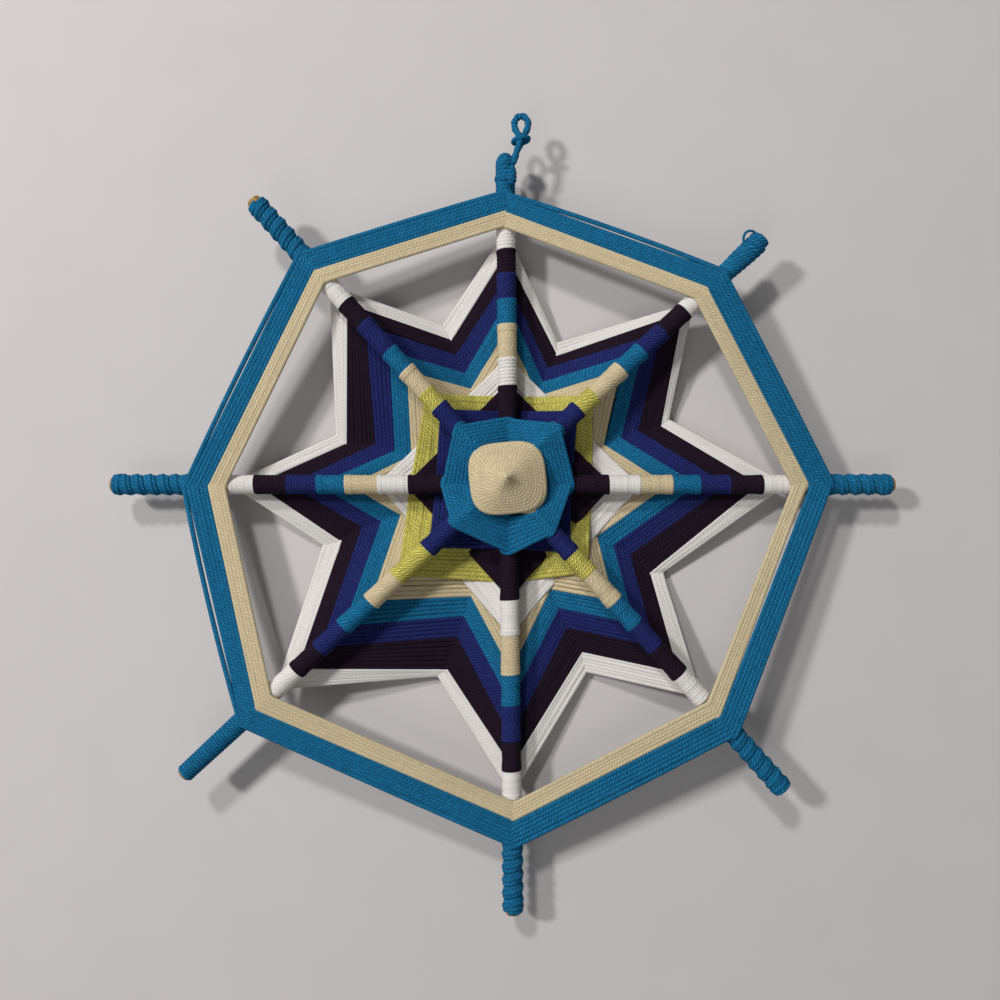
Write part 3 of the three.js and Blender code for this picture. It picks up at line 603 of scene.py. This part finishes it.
def ring_yarn(winding, inner, outer, rounds, loose=np.zeros(8)):
    """A band over the fronts of all the arms: straight from the front of one arm to the front of the next,
    with one turn round each arm, which is tucked in under the strands before it. In the last round a chord
    bows outwards by its side's looseness, as 4 part (1 - part)."""
    visit = np.arange(8 * rounds + 1)
    arm = visit % 8
    share = (visit + 0.5) / len(visit)
    radius = inner[arm] + (outer - inner)[arm] * share + winding.stray(len(visit), 0.12)
    # The yarn's end goes in under the band
    radius[-1] -= 1.5
    lead = (outer - inner)[arm] / rounds * 0.5
    depth = winding.crossing + winding.stray(len(visit), 0.1)
    wraps = winding.wraps(arm, radius, lead, False, 0.0, depth, tuck=1.0)
    here, there = wraps[:-1, -1, :3], wraps[1:, 0, :3]
    part = np.linspace(0, 1, 50)[1:-1]
    plan = here[:, None] + part[:, None] * (there - here)[:, None]
    bow = loose[arm[:-1]] * (visit[:-1] >= 8 * (rounds - 1))
    # The ways of two neighbouring arms add up to about 1.85
    outward = (ALONG[arm[:-1]] + ALONG[arm[1:]]) / 1.85
    plan = plan + (bow[:, None] * 4 * part * (1 - part))[..., None] * outward[:, None]
    return winding.yarn(threaded(wraps, winding.legs(plan, plan[..., 2], False)), 0.6)


def helix(winding, arm, at, turns, sleeve, start=-np.pi / 2, **yarn):
    """Plain wraps along an arm: a screw line about the arm's axis, with its places along the axis and its
    reach from it given evenly over its turns."""
    share = np.linspace(0, 1, int(turns * TURN_POINTS) + 2)
    turn = start + 2 * np.pi * turns * share
    out = np.cos(turn)[:, None] * LEFT[arm] + np.sin(turn)[:, None] * UP
    place, reach = (
        np.interp(share, np.linspace(0, 1, np.size(given)), np.ravel(given)) for given in (at, sleeve)
    )
    return winding.yarn([facing(on_arm(arm, place) + reach[:, None] * out, out)], 0.3, **yarn)


def closed(start, end, turns):
    """Places along a stick that stand still for most of the first and last turn."""
    still = 0.8
    turned = np.linspace(0, turns, TURN_POINTS * int(turns + 1))
    return start + (end - start) * np.clip((turned - still) / (turns - 2 * still), 0, 1)


class OJO_OT_stage(bpy.types.Operator):
    """Sets the table, the lights and the camera"""

    bl_idname = "ojo.stage"
    bl_label = "Set the stage"

    def execute(self, context):
        scene = context.scene
        reach = 1.6
        mesh = bpy.data.meshes.new("table")
        corner = np.array(((-1, -1, 0), (1, -1, 0), (1, 1, 0), (-1, 1, 0))) * reach
        mesh.from_pydata(corner.tolist(), [], [(0, 1, 2, 3)])
        table = bpy.data.objects.new("table", mesh)
        scene.collection.objects.link(table)
        # Painted board: matt and even, with a faint mottle of about 30 mm that keeps it from looking empty
        material, tree = fresh_material("Painted board")
        place = add_node(tree, "TexCoord")
        noise = {"Vector": place.outputs["Object"], "Scale": 1 / 0.03, "Detail": 2.0}
        mottle = add_node(tree, "TexNoise", noise)
        dull, pale = (toned(tuple(scene.ojo_colours.table), factor) for factor in (0.97, 1.03))
        shade = add_node(tree, "Mix", {0: mottle.outputs[0], 6: dull, 7: pale}, data_type="RGBA")
        paint = {"Base Color": shade.outputs[2], "Roughness": 0.8, "IOR": 1.45}
        board = add_node(tree, "BsdfPrincipled", paint)
        add_node(tree, "OutputMaterial", {0: board.outputs[0]})
        mesh.materials.append(material)

        sticks_height = 0.012
        middle = np.append(CROSSING * MM, sticks_height)
        for name, way, distance, breadth, power in (
            ("lamp_left", (-0.887, 0.418, 1.0), 1.5, 0.16, 11.0),
            ("lamp_top", (-0.41, 0.835, 1.0), 1.7, 0.18, 10.5),
            ("lamp_fill", (-0.3, -0.6, 1.0), 2.0, 1.2, 4.0),
        ):
            light = bpy.data.lights.new(name, "AREA")
            light.shape, light.size, light.energy = "DISK", breadth, power
            lamp = bpy.data.objects.new(name, light)
            way = np.array(way) / np.linalg.norm(way)
            lamp.location = middle + distance * way
            lamp.rotation_mode = "QUATERNION"
            lamp.rotation_quaternion = Vector(-way).to_track_quat("-Z", "Y")
            scene.collection.objects.link(lamp)

        world = bpy.data.worlds.new("Room")
        world.use_nodes = True
        background = world.node_tree.nodes["Background"].inputs
        background["Color"].default_value = (0.95, 0.97, 1.0, 1)
        background["Strength"].default_value = 0.18
        scene.world = world
        scene.view_settings.view_transform = "Standard"

        # Straight above, where the ornament fills the view as photographed
        camera = bpy.data.cameras.new("camera")
        camera.lens, camera.sensor_width = 36.0, 36.0
        camera.clip_start, camera.clip_end = 0.01, 20.0
        eye = bpy.data.objects.new("camera", camera)
        eye.location = (-0.00085, 0.01164, 0.351)
        scene.collection.objects.link(eye)
        scene.camera = eye
        return {"FINISHED"}


class OJO_OT_sticks(bpy.types.Operator):
    """Turns the four dowels, let into each other in pairs"""

    bl_idname = "ojo.sticks"
    bl_label = "Turn the sticks"

    def execute(self, context):
        """A stick is a circle carried along its axis, a little smaller at the very ends. Where it is let into
        its partner, the half that is cut away is flat at the axis."""
        wood = dowel_wood("Raw birch dowel", tuple(context.scene.ojo_colours.wood))
        sides = 24
        angle = 2 * np.pi * np.arange(sides) / sides
        rounded = np.array((0, 0.12, 0.4, 0.9))
        notch = STICK_RADIUS + 0.2
        sticks = (("horizontal", 1), ("rising", 1), ("vertical", -1), ("falling", -1))
        for arm, (name, cut) in enumerate(sticks):
            # The top end is a little shorter, under the dome of its wrap
            here, there = REACH[arm] - 2.2 * (arm == 2), -REACH[arm + 4]
            lower, upper = np.linspace(there + 4, -notch - 2, 12), np.linspace(notch + 2, here - 4, 12)
            lap = (-notch - 0.02, -notch, notch, notch + 0.02)
            at = np.concatenate((there + rounded, lower, lap, upper, here - rounded[::-1]))
            ease = 0.35 * np.clip(1 - np.minimum(here - at, at - there) / 0.4, 0, 1) ** 2
            radius = STICK_RADIUS - ease
            side, height = radius[:, None] * np.cos(angle), radius[:, None] * np.sin(angle)
            let_in = (np.abs(at) < notch + 0.01)[:, None] & (height * cut > 0)
            height = np.where(let_in, 0.0, height)
            rings = on_arm(arm, at)[:, None] + side[..., None] * LEFT[arm] + height[..., None] * UP
            tubes = [(rings[:, ::-1], at)]
            piece = add_piece(f"dowel_{name}", "ornament", wood, tubes, "Wood")
            # The map counts millimetres round the stick too, and each stick has its own stretch of the grain
            layer = piece.data.uv_layers["Wood"].data
            uv = np.empty(2 * len(layer), np.float32)
            layer.foreach_get("uv", uv)
            uv[1::2] *= 2 * np.pi * STICK_RADIUS
            uv[0::2] += 300 * arm
            layer.foreach_set("uv", uv)
            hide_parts(f"stick_{name}")
        return {"FINISHED"}


class OJO_OT_squares(bpy.types.Operator):
    """Winds the four small squares behind the eye"""

    bl_idname = "ojo.squares"
    bl_label = "Wind the squares"

    def execute(self, context):
        plus, diagonal = (0, 2, 4, 6), (1, 3, 5, 7)
        squares = (
            ("dark_blue", diagonal, 0, 6, 7.3, 3.0, (0, -0.8, 0, -0.8, 0, -0.8, 0, -0.8)),
            ("dark_purple", plus, 0, 8, 6.7, 14.0, (1.4, 0, 1.4, 0, 1.4, 0, 0, 0)),
            ("lime", diagonal, 1, 8, 5.5, 11.0, (1.6, -0.5, 0.2, -0.5, 1.6, -0.5, 4.2, -0.5)),
            ("white", plus, 1, 8, 4.7, 22.0, (0.7, 0, 0.7, 0, 0.7, 0, 0.7, 0)),
        )
        for seed, (colour, arms, step, rounds, middle, flat, slip) in enumerate(squares):
            winding = Winding(context, 10 + seed)
            tubes = [square_yarn(winding, arms, step, rounds, middle, flat, slip)]
            winding.make(f"yarn_square_{colour}", colour, tubes, f"square_{colour}")
        return {"FINISHED"}


class OJO_OT_stars(bpy.types.Operator):
    """Winds the five stars, and the white necks outside them"""

    bl_idname = "ojo.stars"
    bl_label = "Wind the stars"

    def execute(self, context):
        stars = (("beige", 5), ("turquoise", 5), ("dark_blue", 5), ("dark_purple", 7), ("white", 6))
        for seed, (colour, rounds) in enumerate(stars):
            winding = Winding(context, 20 + seed)
            tubes = [star_yarn(winding, 2 + seed, rounds, seed)]
            winding.make(f"yarn_star_{colour}", colour, tubes, f"star_{colour}")
        return {"FINISHED"}


class OJO_OT_eye(bpy.types.Operator):
    """Winds the raised beige eye over its core"""

    bl_idname = "ojo.eye"
    bl_label = "Wind the eye"

    def execute(self, context):
        """The eye is a spiral of rounded squares. Over the slope's share s the half width w falls evenly and
        the height rises as 0.75 s + 0.25 s^8, so that it ends in a steep tip, and the turns are spaced evenly
        up the slope. A turn's radius at an angle is w (|cos|^p + |sin|^p)^(-1/p), with p falling from 3.6
        to 3. The core is a coil that goes out and in as it climbs, under the cone all the way up."""
        winding = Winding(context, 30)
        turns = context.scene.ojo_sizes.cone_turns
        low, high = box_mm("eye_cone_beige")
        foot = low[2] + 0.7
        slope = np.linspace(0, 1, 200)
        rise = (high[2] - low[2] - 1.3) * (0.75 * slope + 0.25 * slope**8)
        half_width, tip = 12.3, 0.3
        profile = np.stack((half_width - (half_width - tip) * slope, rise, 0 * slope), axis=1)
        up_slope = lengths_of(profile)
        share = np.linspace(0, 1, 64 * turns)
        half, climb, _ = at_lengths(profile, up_slope, share * up_slope[-1]).T
        angle = 2 * np.pi * turns * share + np.radians(230)
        # The first turn starts inside the others
        tucked = 1 - smooth(share * turns / 0.35)
        half = half - 2.2 * tucked
        power = 3.6 - 0.6 * share
        square = angle - np.radians(5)
        radius = half * (np.abs(np.cos(square)) ** power + np.abs(np.sin(square)) ** power) ** (-1 / power)
        x, y, _ = (low + high) / 2
        height = foot + climb - 0.9 * tucked
        path = np.stack((x - 0.5 + radius * np.cos(angle), y + 0.95 * radius * np.sin(angle), height), axis=1)
        flatness = -np.gradient(profile[:, 0]) / np.gradient(profile[:, 1])
        lean = np.interp(share, up_slope / up_slope[-1], flatness)
        face = np.stack((np.cos(angle), np.sin(angle), lean), axis=1)
        tubes = [winding.yarn([facing(path, face)], 0.3, 1.5, 15.0, sides=12, width=2.4, thickness=1.2)]
        tubes += [helix(winding, arm, (4.6, 12.6), 8, winding.sleeve - 0.1) for arm in (1, 3, 5, 7)]
        winding.make("yarn_eye_cone", "beige", tubes, "eye_cone_beige")

        low, high = box_mm("eye_core")
        x, y, _ = (low + high) / 2
        layers, coils = 5, 4
        share = np.linspace(0, 1, 2 * TURN_POINTS * layers * coils)
        angle = 2 * np.pi * layers * coils * share + np.radians(10)
        sweep = np.abs((share * layers) % 2 - 1)
        rise = low[2] + 0.6 + (high[2] - low[2] - 1.2) * share
        roof = np.interp(rise - foot, profile[:, 1], profile[:, 0]) - 1.9
        widest = np.minimum((high[0] - low[0]) / 2 - 0.7, roof)
        narrowest = 0.8
        radius = narrowest + np.clip(widest - narrowest, 0, None) * sweep
        path = np.stack((x + radius * np.cos(angle), y + radius * np.sin(angle), rise), axis=1)
        tubes = [winding.yarn([facing(path, UP)], 0.4, straight=2.0)]
        winding.make("yarn_eye_core", "beige", tubes, "eye_core")
        return {"FINISHED"}


class OJO_OT_octagon(bpy.types.Operator):
    """Winds the turquoise octagon round the eye"""

    bl_idname = "ojo.octagon"
    bl_label = "Wind the octagon"

    def execute(self, context):
        winding = Winding(context, 40)
        shift = middle_mm("eye_cone_beige")[:2] - CROSSING
        inner = np.where(IS_DIAGONAL, 14.2, 11.5) + ALONG[:, :2] @ shift
        tubes = [ring_yarn(winding, inner, ENDS[:, 0] + 0.3, 8)]
        winding.make("yarn_eye_octagon", "turquoise", tubes, "eye_octagon_turquoise")
        return {"FINISHED"}


class OJO_OT_edge(bpy.types.Operator):
    """Winds the octagonal edge, beige inside and turquoise outside"""

    bl_idname = "ojo.edge"
    bl_label = "Wind the edge"

    def execute(self, context):
        # How far each side of the last turquoise round bows outwards
        loose = np.array((0.2, 0.9, 0.3, 0.7, 1.0, 0.2, 0.3, 0.2))
        bands = (
            ("beige", EDGE_INNER, EDGE_CHANGE, 5, 0 * loose),
            ("turquoise", EDGE_CHANGE, EDGE_OUTER, 6, loose),
        )
        for seed, (colour, inner, outer, rounds, bow) in enumerate(bands):
            winding = Winding(context, 50 + seed)
            tubes = [ring_yarn(winding, inner, outer, rounds, bow)]
            winding.make(f"yarn_edge_{colour}", colour, tubes, f"edge_{colour}")
        return {"FINISHED"}


class OJO_OT_tips(bpy.types.Operator):
    """Wraps the eight stick ends in turquoise"""

    bl_idname = "ojo.tips"
    bl_label = "Wrap the stick ends"

    def execute(self, context):
        """Most ends have three strands side by side in a steep screw, the middle one higher. The lower left
        is wound finely, the upper right bulges outwards, and the top is closed by a dome, reach x cos(swing).
        Some leave a little of the stick bare."""
        bare = {"right": 1.3, "upper_left": 1.7, "left": 1.1}
        bare |= {"lower_left": 0.7, "bottom": 1.0, "lower_right": 0.2}
        for arm, name in enumerate(ARM_NAMES):
            winding = Winding(context, 60 + arm)
            inner, outer = EDGE_OUTER[arm] - 2.0, REACH[arm] - bare.get(name, 0) - 0.6
            sleeve = winding.sleeve
            if name == "lower_left":
                turns = (outer - inner) / 1.05
                at = closed(inner, outer, turns)
                tubes = [helix(winding, arm, at, turns, (sleeve + 0.1, sleeve - 0.25), width=1.2)]
            elif name == "upper_right":
                share = np.linspace(0, 1, 40)
                bulge = sleeve - 0.25 + 0.5 * smooth(share / 0.7) - 1.6 * smooth((share - 0.9) / 0.1)
                at = (inner, REACH[arm] + 0.4)
                tubes = [helix(winding, arm, at, TIP[arm] / 2.0, bulge, width=2.5, thickness=1.3)]
                tubes.append(self.tail(winding, arm))
            elif name == "top":
                # The last third of the turns is spread evenly over the dome, so that it closes
                share = np.linspace(0, 1, 60)
                rim, rim_share = REACH[arm] - 3.8, 0.68
                swing = np.radians(78) * np.clip((share - rim_share) / (1 - rim_share), 0, 1)
                sleeve_at = inner + (rim - inner) * share / rim_share
                at = np.where(share < rim_share, sleeve_at, rim + 3.55 * np.sin(swing))
                tubes = [helix(winding, arm, at, TIP[arm] / 1.03, sleeve * np.cos(swing))]
            else:
                turns = (outer - inner - 2.5) / 4.2 + 1.4
                tubes = []
                for place, lift in enumerate((-0.05, 0.38, 0.12)):
                    at = closed(inner + 1.25 * place, outer - 1.25 * (2 - place), turns)
                    tubes.append(helix(winding, arm, at, turns, sleeve + lift, width=1.75))
            winding.make(f"yarn_tip_{name}", "turquoise", tubes, f"tip_wrap_{name}", **WRAP_TONE)
        return {"FINISHED"}

    def tail(self, winding, arm):
        """The yarn's end on the upper right stick: a small bow that stands off the wraps on its left."""
        turn = np.linspace(0, np.pi, TURN_POINTS)
        out = LEFT[arm] * 0.9 + UP * 0.43
        path = on_arm(arm, REACH[arm] - 3.2 - 2.6 * np.cos(turn)) + out * (2.6 + 3.2 * np.sin(turn))[:, None]
        return winding.yarn([facing(path, UP)], 0.3, width=0.9, thickness=0.9)


class OJO_OT_hanger(bpy.types.Operator):
    """Ties the hanger to the top stick and knots its loop"""

    bl_idname = "ojo.hanger"
    bl_label = "Tie the hanger"

    def execute(self, context):
        """The cord follows a smooth curve through its places from the swing's pivot: up the stem, through the
        end knot, round the loop, and back behind the knot. Two plies twist round each other along it. The end
        knot is a flat ring of cord across the stem, and the tie's knot a coil along the stick, whose own end
        touches the foot of the cord."""
        winding = Winding(context, 70)
        pivot = np.array(frame["joints"][0]["pos_m"]) / MM
        thick = 2.2
        rough = facing(CORD_PLACES, UP)
        path = softened(np.concatenate((rough[:1], rough)), 0.7)
        path[:, :3] += pivot - path[0, :3]
        path[:, 3:] = np.array((0.35, -0.2, 1.0))
        path, run = thinned(path, 0.5, 12.0)
        # Its foot is half a ball that reaches a little past the pivot, towards the tie's knot
        foot_reach, foot_end = 1.1, 1.05
        back = foot_end * np.cos(np.linspace(0.1, 1.5, 8))
        foot = path[:1] - back[:, None] * np.append(path[1, :3] - path[0, :3], (0, 0, 0)) / run[1]
        whole = np.concatenate((foot, path))
        whole_run = np.concatenate((-back, run))
        across = thick * np.sqrt(np.clip(1 - (np.minimum(whole_run, 0) / foot_reach) ** 2, 0.02, 1))
        tubes = [(strand(whole, whole_run, across, across, sides=16, ply=0.1, ply_pitch=2.6), whole_run)]
        cord = winding.make("hanger_cord", "turquoise", tubes, "hanger_stem", "hanger_loop", body="hanger")

        turn = np.linspace(0, 2 * np.pi * 1.15, 60) + np.radians(200)
        side, out = np.cos(turn), np.sin(turn)
        ring = pivot + (2.3, 7.5, -1.7) + np.stack((2.7 * side, 0.5 * side + 0.5 * out, 1.75 * out), axis=1)
        face = np.stack((side, 0 * turn, out), axis=1)
        tubes = [winding.yarn([facing(ring, face)], 0.3, width=1.6, thickness=1.5)]
        yarn = yarn_of(context, "turquoise")
        knot = add_piece("hanger_knot", "hanger", yarn, tubes, unit=winding.pitch)
        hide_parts("hanger_end_knot")

        low, high = box_mm("hanger_tie")
        along = (low[1] + high[1]) / 2 - BASE[2, 1]
        tubes = [helix(winding, 2, (along - 0.7, along + 0.7), 1.8, winding.sleeve + 0.4, np.pi / 3)]
        share = np.linspace(0, 1, 120)
        turn = 2 * np.pi * 4.5 * share
        reach = 1.15 * np.sqrt(np.clip(1 - (2 * share - 1) ** 4, 0.02, 1))
        out = np.stack((np.cos(turn), 0 * turn, np.sin(turn)), axis=1)
        rise = low[1] + 0.3 + (high[1] - low[1] - 1.2) * share
        axis = np.stack((0 * share + pivot[0] - 0.8, rise, 0 * share + pivot[2] - 0.6), axis=1)
        coil = facing(axis + reach[:, None] * out, out)
        tubes.append(winding.yarn([coil], 0.25, width=1.5, thickness=1.2))
        # The tie's own end comes out of the coil from below and touches the cord's foot
        way = np.array((-0.2, -0.75, -0.63))
        end = np.linspace((pivot[0] - 0.8, rise[-1] - 0.6, pivot[2] - 0.9), pivot + 1.22 * way, 12)
        tubes.append(winding.yarn([facing(end, UP)], 0.1, 0.4, width=1.2, thickness=1.2))
        winding.make("hanger_tie_yarn", "turquoise", tubes, "hanger_tie", **WRAP_TONE)
        return {"FINISHED"}


class OJO_PT_panel(bpy.types.Panel):
    """Lists the sizes, the colours and the steps of the winding"""

    bl_idname = "OJO_PT_panel"
    bl_label = "Ojo de dios"
    bl_space_type = "VIEW_3D"
    bl_region_type = "UI"
    bl_category = "Ojo de dios"

    def draw(self, context):
        for group in (context.scene.ojo_sizes, context.scene.ojo_colours):
            for name in group.bl_rna.properties.keys():
                if name not in ("rna_type", "name"):
                    self.layout.prop(group, name)
        for step in STEPS:
            self.layout.operator(step.bl_idname)


STEPS = (OJO_OT_stage, OJO_OT_hanger, OJO_OT_sticks, OJO_OT_squares, OJO_OT_stars)
STEPS += (OJO_OT_eye, OJO_OT_octagon, OJO_OT_edge, OJO_OT_tips)
CLASSES = (OjoSizes, OjoColours, *STEPS, OJO_PT_panel)


def register():
    for cls in CLASSES:
        bpy.utils.register_class(cls)
    bpy.types.Scene.ojo_sizes = PointerProperty(type=OjoSizes)
    bpy.types.Scene.ojo_colours = PointerProperty(type=OjoColours)


def unregister():
    del bpy.types.Scene.ojo_colours
    del bpy.types.Scene.ojo_sizes
    for cls in reversed(CLASSES):
        bpy.utils.unregister_class(cls)


def main():
    """Makes every piece in order."""
    register()
    for step in STEPS:
        group, name = step.bl_idname.split(".")
        getattr(getattr(bpy.ops, group), name)()


if __name__ == "__main__":
    main()
